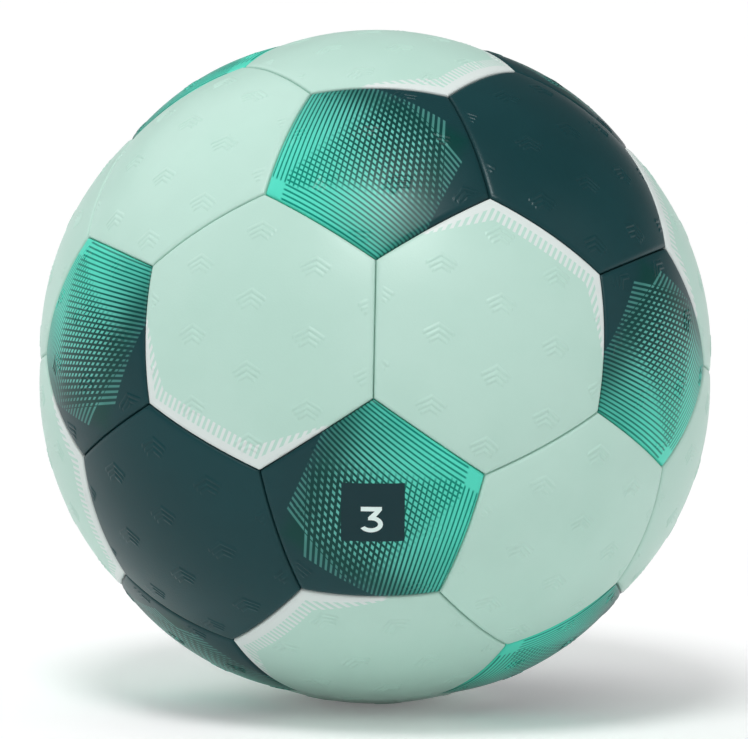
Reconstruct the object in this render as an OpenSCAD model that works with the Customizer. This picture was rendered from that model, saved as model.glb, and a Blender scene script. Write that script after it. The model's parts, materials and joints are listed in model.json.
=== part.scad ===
// Size 3 handball: thirty-two stitched panels round a rubber bladder with a needle valve.
// Each panel is a regular spherical pentagon or hexagon, so the whole cover follows a truncated icosahedron.
// The origin is the centre of the ball, +Z is up and the ball is seen along +Y.

/* [Ball] */
// Radius from the centre of the ball to the crown of a panel
crown_r = 94; // [80:0.5:110]
// How far the ball is turned back about X, which lifts the middle of its front (degrees)
front_lift = 12.5; // [0:0.5:60]
// Facets in a full turn of a drawn curve
facets = 128; // [64:8:200]

/* [Panels] */
// How much lower a panel lies at the middle of its edge than at its crown
edge_drop = 1; // [0.4:0.1:2]
// Radius of the rounding along a panel's edge
edge_round_r = 0.9; // [0.6:0.1:2]
// Gap between two panels along their seam
seam_gap = 0.2; // [0.1:0.05:0.4]
// Thickness of the outer cover
cover_t = 1.4; // [1:0.1:2]
// Thickness of the cover's rim, which is turned in and stitched
rim_t = 1.3; // [0.8:0.1:2]
// Thickness of the foam pad at the crown of a panel
foam_t = 2.8; // [2.4:0.1:5]
// Thickness of the woven lining
lining_t = 1.2; // [0.6:0.1:2]
// Gap between two layers
layer_gap = 0.1; // [0.05:0.05:0.2]

/* [Seam thread] */
// Radius of the waxed thread under each seam
thread_r = 0.4; // [0.2:0.05:0.6]
// Distance from the end of a seam's thread to the corner of the seam
thread_end_gap = 1; // [0.8:0.1:3]

/* [Bladder] */
// Wall of the bladder
bladder_t = 1.2; // [0.8:0.1:2]
// Radius of the balance patch, which lies opposite the valve
patch_r = 15; // [10:0.5:20]
// Thickness of the balance patch
patch_t = 1.5; // [0.8:0.1:3]

/* [Valve] */
// Radius of the valve's stem, which shows in the panel
stem_r = 4; // [3.6:0.1:5]
// How far the face of the valve lies below the crown of its panel
valve_recess = 0.6; // [0.3:0.1:1.2]
// Length of the stem from its face to its inner end
stem_l = 14; // [12:0.5:20]
// Radius of the flange that is bonded to the inside of the bladder
flange_r = 13; // [9:0.5:18]
// Thickness of the flange
flange_t = 1.4; // [0.8:0.1:2]
// Radius of the ring that stiffens the bladder round the stem
ring_r = 10; // [7:0.5:14]
// Radius of the plug in the stem
plug_r = 2.5; // [2:0.1:3]
// How far the face of the plug lies below the face of the stem
plug_recess = 0.3; // [0.1:0.1:0.6]
// Radius of the needle's duct through the plug
needle_r = 1; // [0.6:0.05:1.2]
// Thickness of the stem's closed inner end
stem_floor_t = 2; // [1:0.1:3]
// Length of the slit that closes behind the needle
slit_l = 3; // [1:0.1:3]
// Width of the slit
slit_w = 0.3; // [0.1:0.05:0.5]
// Gap round the valve's pieces
valve_gap = 0.1; // [0.05:0.05:0.2]

/* [Hidden] */
$fn = facets;

// Directions of the panels, before the ball is turned back
golden_share = (1 + sqrt(5)) / 2;
sign_shares = [for (a = [-1, 1]) for (b = [-1, 1]) [a, b]];
pentagon_shares = [for (s = sign_shares) each turned([0, s[0] * golden_share, s[1]])];
bordered_shares = [for (s = sign_shares) each turned([0, s[0] / golden_share, s[1] * golden_share])];
dark_shares = [for (s = sign_shares) [s[0], s[1], -s[0] * s[1]]];
plain_shares = [for (s = sign_shares) [s[0], s[1], s[0] * s[1]]];
hexagon_shares = concat(bordered_shares, dark_shares, plain_shares);

// The valve is in the last plain hexagon, high on the back
valve_share = plain_shares[3];

// Two panels are neighbours when the angle between them is under this
neighbour_angle = 45;

// Edge of the truncated icosahedron over its radius, and half the angle of an edge
edge_share = 2 / sqrt(1 + 9 * pow(golden_share, 2));
edge_half_angle = asin(edge_share / 2);

// Radii of the edge's middle and of the layers, from the cover inwards
edge_r = crown_r - edge_drop;
foam_bottom_r = crown_r - cover_t - layer_gap - foam_t;
lining_top_r = foam_bottom_r - layer_gap;
rim_bottom_r = lining_top_r - lining_t;
thread_path_r = rim_bottom_r - layer_gap - thread_r;
bladder_r = thread_path_r - thread_r - layer_gap;
bladder_inner_r = bladder_r - bladder_t;
ring_top_r = rim_bottom_r - layer_gap;

// Places along the valve's axis
stem_top = crown_r - valve_recess;
stem_bottom = stem_top - stem_l;
plug_top = stem_top - plug_recess;
plug_bottom = stem_bottom + stem_floor_t + valve_gap;
stem_hole_r = stem_r + valve_gap;
plug_hole_r = plug_r + valve_gap / 2;

// Chords that draw the rounding of an edge
round_chords = 3;

// Reach of the cutting blocks past the ball, and the overrun of the cuts in the valve
reach = 2 * crown_r;
overrun = layer_gap * 5;

function numbered(name, list) = [for (i = [1:len(list)]) str(name, "_", i)];

// The three places that a direction takes when its coordinates move round
function turned(p) = [p, [p[2], p[0], p[1]], [p[1], p[2], p[0]]];

function unit(v) = v / norm(v);

function beside(a, b) = unit(a) * unit(b) > cos(neighbour_angle);

function all_beside(c, list) = [for (p = list) if (p != c && beside(c, p)) p];

// A panel's own frame points at its dark neighbour, or at a bordered one where it has none
function aim(c) = concat(all_beside(c, dark_shares), all_beside(c, bordered_shares))[0];

// Angle from the middle of a panel to the middle of its side
function side_angle(sides) = asin(edge_share / (2 * tan(180 / sides) * cos(edge_half_angle)));

// A panel bulges as a sphere of its own, whose centre is moved up until the edge lies at edge_r
function bulge_lift(sides) =
    (pow(crown_r, 2) - pow(edge_r, 2)) / (2 * (crown_r - edge_r * cos(side_angle(sides))));

function bulge_r(sides) = crown_r - bulge_lift(sides);

// A frame whose Z runs through the middle of the panel at c, and whose X points towards t
module on_axes(c, t) {
    z = unit(c);
    x = unit(t - (t * z) * z);
    y = cross(z, x);
    rotate([-front_lift, 0, 0])
        multmatrix([
            [x[0], y[0], z[0], 0],
            [x[1], y[1], z[1], 0],
            [x[2], y[2], z[2], 0],
            [0, 0, 0, 1]
        ])
            children();
}

module on_panel(c) {
    on_axes(c, aim(c))
        children();
}

// A frame for one side of a panel: XY is the plane of the seam and Z points out of the panel
module on_side(sides, k) {
    rotate([0, 0, k * 360 / sides])
        rotate([0, 90 + side_angle(sides), 0])
            children();
}

// A sphere whose poles lie off the panel
module ball(r, lift = 0) {
    translate([0, 0, lift])
        rotate([90, 0, 0])
            sphere(r = r);
}

// Everything of the ball that lies outside the panel's sides, each moved in by inset
module beyond_sides(sides, inset) {
    for (k = [0:sides - 1])
        on_side(sides, k)
            translate([-reach, -reach, -inset])
                cube([2 * reach, 2 * reach, reach]);
}

// Points along the rounding of an edge: radius across the seam's axis, distance along that axis
function round_points(sides) = let (
    slope = asin(bulge_lift(sides) * sin(side_angle(sides)) / bulge_r(sides)),
    top = edge_r + edge_round_r * tan(slope)
) [for (i = [0:round_chords]) let (a = 90 * i / round_chords) [
    top - edge_round_r * (1 - sin(a)),
    -seam_gap / 2 - edge_round_r * (1 - cos(a))
]];

// Centre, along the seam's axis, of the sphere that passes through two points of the rounding
function dome_centre(a, b) = (a * a - b * b) / (2 * (a[1] - b[1]));

// Spheres that round one side: each cuts a chord of the rounding and holds the rest of the panel
module edge_dome(sides, k, i) {
    points = round_points(sides);
    centre = dome_centre(points[i], points[i + 1]);
    on_side(sides, k)
        translate([0, 0, centre])
            sphere(r = norm(points[i] - [0, centre]));
}

// Wedge of the ball under one panel, with sharp edges
module sharp_wedge(sides) {
    difference() {
        ball(bulge_r(sides), bulge_lift(sides));
        beyond_sides(sides, seam_gap / 2);
    }
}

// The wedge after the first cuts of its rounding, which go round the panel once for each chord
module rounded_wedge(sides, cuts) {
    if (cuts == 0)
        sharp_wedge(sides);
    else
        intersection() {
            rounded_wedge(sides, cuts - 1);
            edge_dome(sides, (cuts - 1) % sides, floor((cuts - 1) / sides));
        }
}

// A shaft along the valve's axis, between two distances from the centre of the ball
module shaft(r, bottom, top) {
    translate([0, 0, bottom])
        cylinder(r = r, h = top - bottom);
}

module stem_hole() {
    shaft(stem_hole_r, bladder_inner_r - overrun, crown_r + overrun);
}

// Cover of one panel: a bulged sheet with its rim turned in all round
module panel_cover(sides) {
    difference() {
        rounded_wedge(sides, sides * round_chords);
        ball(rim_bottom_r);
        difference() {
            ball(bulge_r(sides) - cover_t, bulge_lift(sides));
            beyond_sides(sides, seam_gap / 2 + rim_t);
        }
    }
}

// Foam pad inside the cover's rim, thicker at the crown
module foam_pad(sides) {
    difference() {
        ball(bulge_r(sides) - cover_t - layer_gap, bulge_lift(sides));
        beyond_sides(sides, seam_gap / 2 + rim_t + layer_gap);
        ball(foam_bottom_r);
    }
}

// Woven lining that closes the panel from inside
module lining(sides) {
    difference() {
        ball(lining_top_r);
        beyond_sides(sides, seam_gap / 2 + rim_t + layer_gap);
        ball(rim_bottom_r);
    }
}

// Places one panel's piece, and drills it where the valve comes through
module placed(c) {
    on_panel(c)
        if (c == valve_share)
            difference() {
                children();
                stem_hole();
            }
        else
            children();
}

module pentagon_panel(i) {
    color("#27a88f")
        placed(pentagon_shares[i])
            panel_cover(5);
}

module bordered_hexagon_panel(i) {
    color("#c3dfd2")
        placed(bordered_shares[i])
            panel_cover(6);
}

module dark_hexagon_panel(i) {
    color("#20484c")
        placed(dark_shares[i])
            panel_cover(6);
}

module plain_hexagon_panel(i) {
    color("#b9d9cb")
        placed(plain_shares[i])
            panel_cover(6);
}

module pentagon_foam_pads() {
    color("#f0ead8")
        for (c = pentagon_shares)
            placed(c)
                foam_pad(5);
}

module hexagon_foam_pads() {
    color("#f0ead8")
        for (c = hexagon_shares)
            placed(c)
                foam_pad(6);
}

module pentagon_linings() {
    color("#e6e6e1")
        for (c = pentagon_shares)
            placed(c)
                lining(5);
}

module hexagon_linings() {
    color("#e6e6e1")
        for (c = hexagon_shares)
            placed(c)
                lining(6);
}

// Thread of one seam, under the rims of the two panels that it joins
module seam_run(sides, k) {
    end_angle = 180 / PI * thread_end_gap / thread_path_r;
    half_angle = edge_half_angle - end_angle;
    on_side(sides, k)
        rotate([0, 0, 180 - half_angle])
            rotate_extrude(angle = 2 * half_angle)
                translate([thread_path_r, 0])
                    circle(r = thread_r);
}

module seam_thread() {
    last = len(hexagon_shares) - 1;
    color("#26383a") {
        for (c = pentagon_shares)
            on_panel(c)
                for (k = [0:4])
                    seam_run(5, k);
        for (i = [0:last - 1])
            for (j = [i + 1:last])
                if (beside(hexagon_shares[i], hexagon_shares[j]))
                    on_axes(hexagon_shares[i], hexagon_shares[j])
                        seam_run(6, 0);
    }
}

module bladder() {
    color("#3a3a3c")
        on_panel(valve_share)
            difference() {
                ball(bladder_r);
                ball(bladder_inner_r);
                stem_hole();
            }
}

// A round piece of a shell, outside or inside the bladder's wall
module dish(r, outer_r, t) {
    intersection() {
        difference() {
            ball(outer_r);
            ball(outer_r - t);
        }
        shaft(r, 0, crown_r);
    }
}

module balance_patch() {
    color("#4a4a4c")
        on_panel(valve_share)
            mirror([0, 0, 1])
                dish(patch_r, bladder_inner_r - layer_gap, patch_t);
}

// Rubber stem with its flange: blind inside, apart from the slit at its end
module valve_stem() {
    color("#1d1d1f")
        on_panel(valve_share)
            difference() {
                union() {
                    shaft(stem_r, stem_bottom, stem_top);
                    dish(flange_r, bladder_inner_r - layer_gap, flange_t);
                }
                shaft(plug_hole_r, stem_bottom + stem_floor_t, crown_r);
                translate([-slit_l / 2, -slit_w / 2, stem_bottom - overrun])
                    cube([slit_l, slit_w, stem_floor_t + 2 * overrun]);
            }
}

module valve_plug() {
    color("#101011")
        on_panel(valve_share)
            difference() {
                shaft(plug_r, plug_bottom, plug_top);
                shaft(needle_r, plug_bottom - overrun, crown_r);
            }
}

// Ring that stiffens the bladder's wall where the stem comes out
module valve_ring() {
    color("#515153")
        on_panel(valve_share)
            difference() {
                dish(ring_r, ring_top_r, ring_top_r - bladder_r - layer_gap);
                stem_hole();
            }
}

for (i = [0:len(pentagon_shares) - 1])
    pentagon_panel(i);
for (i = [0:len(bordered_shares) - 1])
    bordered_hexagon_panel(i);
for (i = [0:len(dark_shares) - 1])
    dark_hexagon_panel(i);
for (i = [0:len(plain_shares) - 1])
    plain_hexagon_panel(i);
pentagon_foam_pads();
hexagon_foam_pads();
pentagon_linings();
hexagon_linings();
seam_thread();
bladder();
balance_patch();
valve_stem();
valve_plug();
valve_ring();
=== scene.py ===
"""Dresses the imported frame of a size 3 handball: stitched panels, badge, valve, inner layers and stage."""

import json
import math

import bmesh
import bpy
from mathutils import Matrix, Vector

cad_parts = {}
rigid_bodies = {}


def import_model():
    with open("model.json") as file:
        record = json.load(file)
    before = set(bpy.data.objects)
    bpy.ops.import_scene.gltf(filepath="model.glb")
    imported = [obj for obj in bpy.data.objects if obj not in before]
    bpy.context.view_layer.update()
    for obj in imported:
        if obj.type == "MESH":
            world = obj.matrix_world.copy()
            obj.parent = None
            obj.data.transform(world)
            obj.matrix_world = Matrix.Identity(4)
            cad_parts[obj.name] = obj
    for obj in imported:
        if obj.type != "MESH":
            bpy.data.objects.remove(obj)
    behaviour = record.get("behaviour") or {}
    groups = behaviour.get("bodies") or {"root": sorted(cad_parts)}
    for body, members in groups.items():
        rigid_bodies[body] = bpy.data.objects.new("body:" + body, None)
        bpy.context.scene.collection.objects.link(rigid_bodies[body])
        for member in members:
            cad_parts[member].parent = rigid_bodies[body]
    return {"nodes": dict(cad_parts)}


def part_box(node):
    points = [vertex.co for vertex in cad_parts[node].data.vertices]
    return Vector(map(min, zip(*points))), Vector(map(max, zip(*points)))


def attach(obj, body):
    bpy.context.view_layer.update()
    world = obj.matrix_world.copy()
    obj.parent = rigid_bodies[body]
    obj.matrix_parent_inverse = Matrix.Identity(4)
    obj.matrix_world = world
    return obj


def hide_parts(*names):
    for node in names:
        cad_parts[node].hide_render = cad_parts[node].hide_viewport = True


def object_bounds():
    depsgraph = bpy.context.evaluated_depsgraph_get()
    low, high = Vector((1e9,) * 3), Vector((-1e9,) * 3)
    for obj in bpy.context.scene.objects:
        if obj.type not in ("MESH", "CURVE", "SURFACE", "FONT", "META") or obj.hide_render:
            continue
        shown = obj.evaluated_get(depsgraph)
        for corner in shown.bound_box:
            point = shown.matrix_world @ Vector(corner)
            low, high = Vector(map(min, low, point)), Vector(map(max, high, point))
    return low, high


bl_info = {
    "name": "Handball",
    "version": (1, 0, 0),
    "blender": (4, 5, 0),
    "location": "3D View > Sidebar > Handball",
    "description": "Makes the panels, the badge, the valve and the stage of a size 3 handball",
    "category": "Mesh",
}

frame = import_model()
cad_low, cad_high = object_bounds()

# Directions of the panels before the ball is turned back, in the order of the frame's node names
GOLDEN = (1 + math.sqrt(5)) / 2
SIGNS = [(a, b) for a in (-1, 1) for b in (-1, 1)]


def turned(x, y, z):
    """The three places that a direction takes when its coordinates move round."""
    return [(x, y, z), (z, x, y), (y, z, x)]


PENTAGONS = [p for a, b in SIGNS for p in turned(0, a * GOLDEN, b)]
BORDERED = [p for a, b in SIGNS for p in turned(0, a / GOLDEN, b * GOLDEN)]
DARK = [(a, b, -a * b) for a, b in SIGNS]
PLAIN = [(a, b, a * b) for a, b in SIGNS]

# The badge is on the first pentagon and the valve in the last plain hexagon
BADGE_NODE = "pentagon_panel_1"
VALVE_NODE = "plain_hexagon_panel_4"

# Edge of the truncated icosahedron over its radius
EDGE_SHARE = 2 / math.sqrt(1 + 9 * GOLDEN**2)

MM = 0.001
# The panel's map has this many millimetres to one
MAP_SPAN = 100


def screen_colour(red, green, blue):
    """A colour as the screen shows it, 0 to 255, as the linear values that Blender keeps."""
    values = []
    for c in (red / 255, green / 255, blue / 255):
        values.append(c / 12.92 if c <= 0.04045 else ((c + 0.055) / 1.055) ** 2.4)
    return (*values, 1.0)


def length(name, description, default, low=0.0, high=1.0):
    return bpy.props.FloatProperty(
        name=name, description=description, default=default, min=low, max=high, precision=5, unit="LENGTH"
    )


def angle(name, description, degrees):
    return bpy.props.FloatProperty(
        name=name, description=description, default=math.radians(degrees), subtype="ANGLE"
    )


def colour(name, description, red, green, blue):
    return bpy.props.FloatVectorProperty(
        name=name,
        description=description,
        default=screen_colour(red, green, blue),
        size=4,
        min=0,
        max=1,
        subtype="COLOR",
    )


def share(name, description, default):
    return bpy.props.FloatProperty(
        name=name, description=description, default=default, min=0, max=1, subtype="FACTOR"
    )


def power(name, description, watts):
    return bpy.props.FloatProperty(name=name, description=description, default=watts, min=0, unit="POWER")


class BallSizes(bpy.types.PropertyGroup):
    """Sizes of the ball and its cover."""

    crown_radius: length("Crown Radius", "From the centre of the ball to the crown of a panel", 94 * MM)
    front_lift: angle("Front Lift", "How far the ball is turned back about X", 12.5)
    edge_drop: length("Edge Drop", "How much lower the middle of an edge lies than the crown", 1 * MM)
    edge_softness: length("Edge Softness", "Radius of the soft bend that leads to a panel's edge", 7 * MM)
    soft_turn: angle("Soft Turn", "How far the soft bend turns down", 12)
    edge_rounding: length("Edge Rounding", "Radius of the rolled edge of a panel", 0.7 * MM)
    edge_turn: angle("Edge Turn", "How far the edge of a panel rolls down", 40)
    seam_gap: length("Seam Gap", "Gap between two panels along their seam", 0.02 * MM)
    cover: length("Cover", "Thickness of the outer cover", 1.4 * MM)
    rim: length("Rim", "Thickness of the rim that is turned in and stitched", 1.3 * MM)
    rim_bottom: length("Rim Bottom", "From the centre of the ball to the bottom of the rim", 88.4 * MM)


class GripSizes(bpy.types.PropertyGroup):
    """Sizes of the raised marks that give the cover its grip."""

    spacing: length("Spacing", "Distance between two groups of marks", 19.5 * MM)
    angle: angle("Angle", "How far the rows of marks are turned on the panel", 27)
    offset_x: length("Offset X", "Where the first group lies, towards the dark side", 6.5 * MM, -0.1, 0.1)
    offset_y: length("Offset Y", "Where the first group lies, across the panel", 3.5 * MM, -0.1, 0.1)
    pitch: length("Pitch", "Distance between two marks of a group", 1.65 * MM)
    arm: length("Arm", "Half of the width of the widest mark", 4.2 * MM)
    shorter: length("Shorter", "How much less of an arm each next mark has", 0.9 * MM)
    width: length("Width", "Width of a mark's stroke", 0.85 * MM)
    height: length("Height", "How far a mark stands out of the cover", 0.17 * MM)


class BadgeSizes(bpy.types.PropertyGroup):
    """Sizes of the printed badge with the ball's size."""

    width: length("Width", "Width of the badge", 16.9 * MM)
    height: length("Height", "Height of the badge", 17 * MM)
    numeral: length("Numeral", "Height of the numeral", 7.5 * MM)
    drop: length("Drop", "How far the numeral lies below the middle of the badge", 1.9 * MM)
    ink: length("Ink", "Thickness of one layer of ink", 0.03 * MM)
    turn: angle("Turn", "Reading direction on the panel, from the dark side", 162.5)
    offset_x: length("Offset X", "Middle of the badge, towards the dark side", -0.75 * MM, -0.1, 0.1)
    offset_y: length("Offset Y", "Middle of the badge, across the panel", -1.1 * MM, -0.1, 0.1)


class ValveSizes(bpy.types.PropertyGroup):
    """Sizes of the needle valve."""

    hole: length("Hole", "Radius of the hole in the cover", 4.1 * MM)
    lip: length("Lip", "Rounding of the hole's lip", 0.45 * MM)
    stem: length("Stem", "Radius of the stem", 4 * MM)
    face: length("Face", "From the centre of the ball to the face of the stem", 93.4 * MM)
    stem_length: length("Stem Length", "From the face of the stem to its inner end", 14 * MM)
    flange: length("Flange", "Radius of the flange inside the bladder", 13 * MM)
    flange_top: length("Flange Top", "From the centre of the ball to the top of the flange", 86.1 * MM)
    flange_thickness: length("Flange Thickness", "Thickness of the flange", 1.4 * MM)
    plug_hole: length("Plug Hole", "Radius of the hole for the plug", 2.55 * MM)
    plug: length("Plug", "Radius of the plug", 2.5 * MM)
    plug_face: length("Plug Face", "From the centre of the ball to the face of the plug", 93.1 * MM)
    plug_bottom: length("Plug Bottom", "From the centre of the ball to the bottom of the plug", 81.5 * MM)
    needle: length("Needle", "Radius of the duct for the pump needle", 1 * MM)


class BallColours(bpy.types.PropertyGroup):
    """Colours of the cover and what lies under it."""

    mint: colour("Mint", "Cover of the hexagons", 187, 222, 209)
    white: colour("White", "Printed border of the hexagons", 222, 232, 229)
    dark: colour("Dark Teal", "Cover of the dark panels", 18, 60, 64)
    bright: colour("Bright Turquoise", "Printed lines near the bright corner", 84, 222, 196)
    bright_far: colour("Far Turquoise", "Printed lines far from the bright corner", 102, 186, 175)
    gap: colour("Gap Green", "Ground between the lines near the bright corner", 0, 140, 120)
    deep: colour("Deep Green", "Ground between the lines far from the bright corner", 0, 62, 58)
    numeral: colour("Numeral", "Numeral on the badge", 226, 244, 240)
    badge: colour("Badge", "Ground of the badge", 14, 50, 55)
    thread: colour("Thread", "Waxed thread in the seams", 40, 58, 60)
    foam: colour("Foam", "Foam pads", 236, 230, 212)
    lining: colour("Lining", "Woven lining", 226, 226, 220)
    bladder: colour("Bladder", "Rubber of the bladder", 46, 46, 48)
    patch: colour("Patch", "Rubber of the patch and the ring", 74, 74, 76)
    valve: colour("Valve", "Rubber of the valve", 24, 24, 26)


class CoverFinish(bpy.types.PropertyGroup):
    """Finish of the cover."""

    roughness: share("Roughness", "Roughness of the cover", 0.36)
    gloss: share("Gloss", "Specular level of the cover", 0.18)
    grain: length("Grain", "Depth of the leather grain", 0.02 * MM)


class StageSettings(bpy.types.PropertyGroup):
    """Camera and light."""

    azimuth: angle("Azimuth", "Direction of the camera round the ball", 0.19)
    elevation: angle("Elevation", "Height of the camera above the horizon", 6.04)
    roll: angle("Roll", "Turn of the camera about its axis", 1.02)
    distance: length("Distance", "From the camera to the centre of the ball", 2.068, 0.1, 10)
    focal: bpy.props.FloatProperty(
        name="Focal Length", description="Focal length of the camera", default=358, unit="CAMERA"
    )
    key: power("Key", "Power of the key light in watts", 18.5)
    gleam: power("Gleam", "Power of the light that only gleams on the covers, in watts", 40)
    back: power("Back", "Power of the back light in watts", 8.5)
    fill: power("Fill", "Power of the fill light in watts", 3.5)
    sky: share("Sky", "Strength of the even light from all round", 0.51)


GROUPS = {
    "ball_sizes": BallSizes,
    "grip_sizes": GripSizes,
    "badge_sizes": BadgeSizes,
    "valve_sizes": ValveSizes,
    "ball_colours": BallColours,
    "cover_finish": CoverFinish,
    "stage_settings": StageSettings,
}


# Selection and edit mode


def start_clean():
    """Leaves edit mode and deselects everything, so that an operator acts on the new piece alone."""
    if bpy.context.mode != "OBJECT":
        bpy.ops.object.mode_set(mode="OBJECT")
    bpy.ops.object.select_all(action="DESELECT")


def new_object(name, data=None):
    made = bpy.data.objects.new(name, data)
    bpy.context.scene.collection.objects.link(made)
    return made


def make_active(piece):
    start_clean()
    piece.select_set(True)
    bpy.context.view_layer.objects.active = piece


def edit(piece, mode="FACE"):
    make_active(piece)
    bpy.ops.object.mode_set(mode="EDIT")
    bpy.ops.mesh.select_mode(type=mode)


def face_outwards(piece):
    """Makes all faces of a piece point outwards, and leaves edit mode."""
    edit(piece)
    bpy.ops.mesh.select_all(action="SELECT")
    bpy.ops.mesh.normals_make_consistent(inside=False)
    bpy.ops.object.mode_set(mode="OBJECT")


def select_where(piece, kind, test):
    """Selects the faces, edges or vertices that pass the test, and nothing else."""
    mesh = bmesh.from_edit_mesh(piece.data)
    for items in (mesh.verts, mesh.edges, mesh.faces):
        for x in items:
            x.select = False
    for x in [x for x in getattr(mesh, kind) if test(x)]:
        x.select_set(True)
    mesh.select_flush_mode()
    bmesh.update_edit_mesh(piece.data)


def select_rim(piece):
    """Selects the open edge of a sheet."""
    bpy.ops.mesh.select_mode(type="EDGE")
    select_where(piece, "edges", lambda e: e.is_boundary)


def vertex_group(piece, name):
    """A vertex group of the piece, made active."""
    group = piece.vertex_groups.get(name) or piece.vertex_groups.new(name=name)
    piece.vertex_groups.active_index = group.index
    return group


def select_group(piece, name):
    bpy.ops.mesh.select_mode(type="VERT")
    bpy.ops.mesh.select_all(action="DESELECT")
    vertex_group(piece, name)
    bpy.ops.object.vertex_group_select()


def extrude_rim(piece, scale, centre, name):
    """Extrudes the selected rim, scales the new one about a point and keeps it as a vertex group."""
    bpy.ops.mesh.extrude_region()
    bpy.ops.transform.resize(value=scale, center_override=centre)
    vertex_group(piece, name)
    bpy.ops.object.vertex_group_assign()


def apply_modifier(piece, modifier):
    make_active(piece)
    bpy.ops.object.modifier_apply(modifier=modifier.name)


def cast(piece, size, height=None, group=None):
    """Moves the piece, or one group of its vertices, onto a sphere about the origin or a height on Z."""
    modifier = piece.modifiers.new("Cast", "CAST")
    modifier.cast_type = "SPHERE"
    modifier.factor = 1
    modifier.radius = 0
    modifier.use_radius_as_size = False
    modifier.size = size
    if group is not None:
        modifier.vertex_group = group
    if height is None:
        apply_modifier(piece, modifier)
        return
    centre = new_object("bulge_centre")
    centre.location = (0, 0, height)
    bpy.context.view_layer.update()
    modifier.object = centre
    apply_modifier(piece, modifier)
    bpy.data.objects.remove(centre)


def finish_piece(piece, node, material, smooth):
    """Gives a piece its material, its body, the node that it replaces and smooth faces."""
    make_active(piece)
    bpy.ops.object.shade_smooth_by_angle(angle=math.radians(smooth))
    piece.data.materials.clear()
    piece.data.materials.append(material)
    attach(piece, "root")
    if node is not None:
        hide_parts(node)


# Geometry of a panel


class PanelShape:
    """Angles and radii of a panel with five or six sides."""

    def __init__(self, sizes, sides):
        crown = sizes.crown_radius
        self.sides = sides
        self.edge_r = crown - sizes.edge_drop
        half_edge = math.asin(EDGE_SHARE / 2)
        self.side = math.asin(EDGE_SHARE / (2 * math.tan(math.pi / sides) * math.cos(half_edge)))
        self.lift = (crown**2 - self.edge_r**2) / (2 * (crown - self.edge_r * math.cos(self.side)))
        self.bulge_r = crown - self.lift
        self.inset_side = self.side - math.asin(sizes.seam_gap / 2 / self.edge_r)
        self.roll = self.roll_rows(sizes)

    def roll_rows(self, sizes):
        """Rows of the rolled edge: how far inside the seam each lies, and how far it has dropped."""
        soft, tight = sizes.soft_turn, sizes.edge_turn
        steps = 4
        turns = [soft * k / steps for k in range(steps)]
        turns += [soft + (tight - soft) * k / steps for k in range(steps + 1)]
        rows = []
        for turn in turns:
            bend, rest = min(turn, soft), max(turn, soft)
            along = sizes.edge_softness * math.sin(bend)
            along += sizes.edge_rounding * (math.sin(rest) - math.sin(soft))
            drop = sizes.edge_softness * (1 - math.cos(bend))
            drop += sizes.edge_rounding * (math.cos(soft) - math.cos(rest))
            rows.append((along, drop))
        return [(rows[-1][0] - along, drop) for along, drop in rows]

    def apothem(self, inside):
        """Apothem of the flat panel whose sides lie this far inside the seam."""
        return self.edge_r * math.tan(self.inset_side - inside / self.edge_r)

    def seam_distance(self, p):
        """Distance of a point to the nearest seam's plane."""
        return min(
            math.sin(self.side) * p.z - math.cos(self.side) * (math.cos(t) * p.x + math.sin(t) * p.y)
            for t in (2 * math.pi * k / self.sides for k in range(self.sides))
        )


def flat_place(p, radius):
    """A point's place on the unrolled panel, from its middle along the ball."""
    across = math.hypot(p.x, p.y)
    if across < 1e-9:
        return Vector((0, 0))
    return Vector((p.x, p.y)) * (math.atan2(across, p.z) * radius / across)


def along_angle(turn):
    return Vector((math.cos(turn), math.sin(turn)))


def grip_sites(grip, reach, bare):
    """Middles of the groups of marks on a panel, apart from those in a bare place."""
    sites = []
    a = along_angle(grip.angle) * grip.spacing
    b = along_angle(grip.angle + math.pi / 3) * grip.spacing
    for i in range(-4, 5):
        for j in range(-4, 5):
            p = Vector((grip.offset_x, grip.offset_y)) + a * i + b * j
            if p.length < reach and all((p - place).length > radius for place, radius in bare):
                sites.append(p)
    return sites


def grip_height(grip, sites, p):
    """Height of the grip marks at a place on the unrolled panel, from 0 to 1."""
    # Slope of a stroke, the cosine of its angle, and the share of its width that a flank has
    slope, across_stroke, flank = 0.6, 0.857, 0.28
    for middle in sites:
        away = p - middle
        if away.length > grip.pitch + grip.arm:
            continue
        along = math.cos(grip.angle) * away.x + math.sin(grip.angle) * away.y
        across = abs(math.cos(grip.angle) * away.y - math.sin(grip.angle) * away.x)
        best = 1.0
        for k in (0, 1, 2):
            arm = grip.arm - k * grip.shorter
            line = abs(along + (k - 1) * grip.pitch + (across - grip.arm / 2) * slope) * across_stroke
            best = min(best, max(line, across - arm + grip.width / 2))
        return max(0.0, min(1.0, (grip.width / 2 - best) / (grip.width * flank) + 0.5))
    return 0.0


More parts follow.
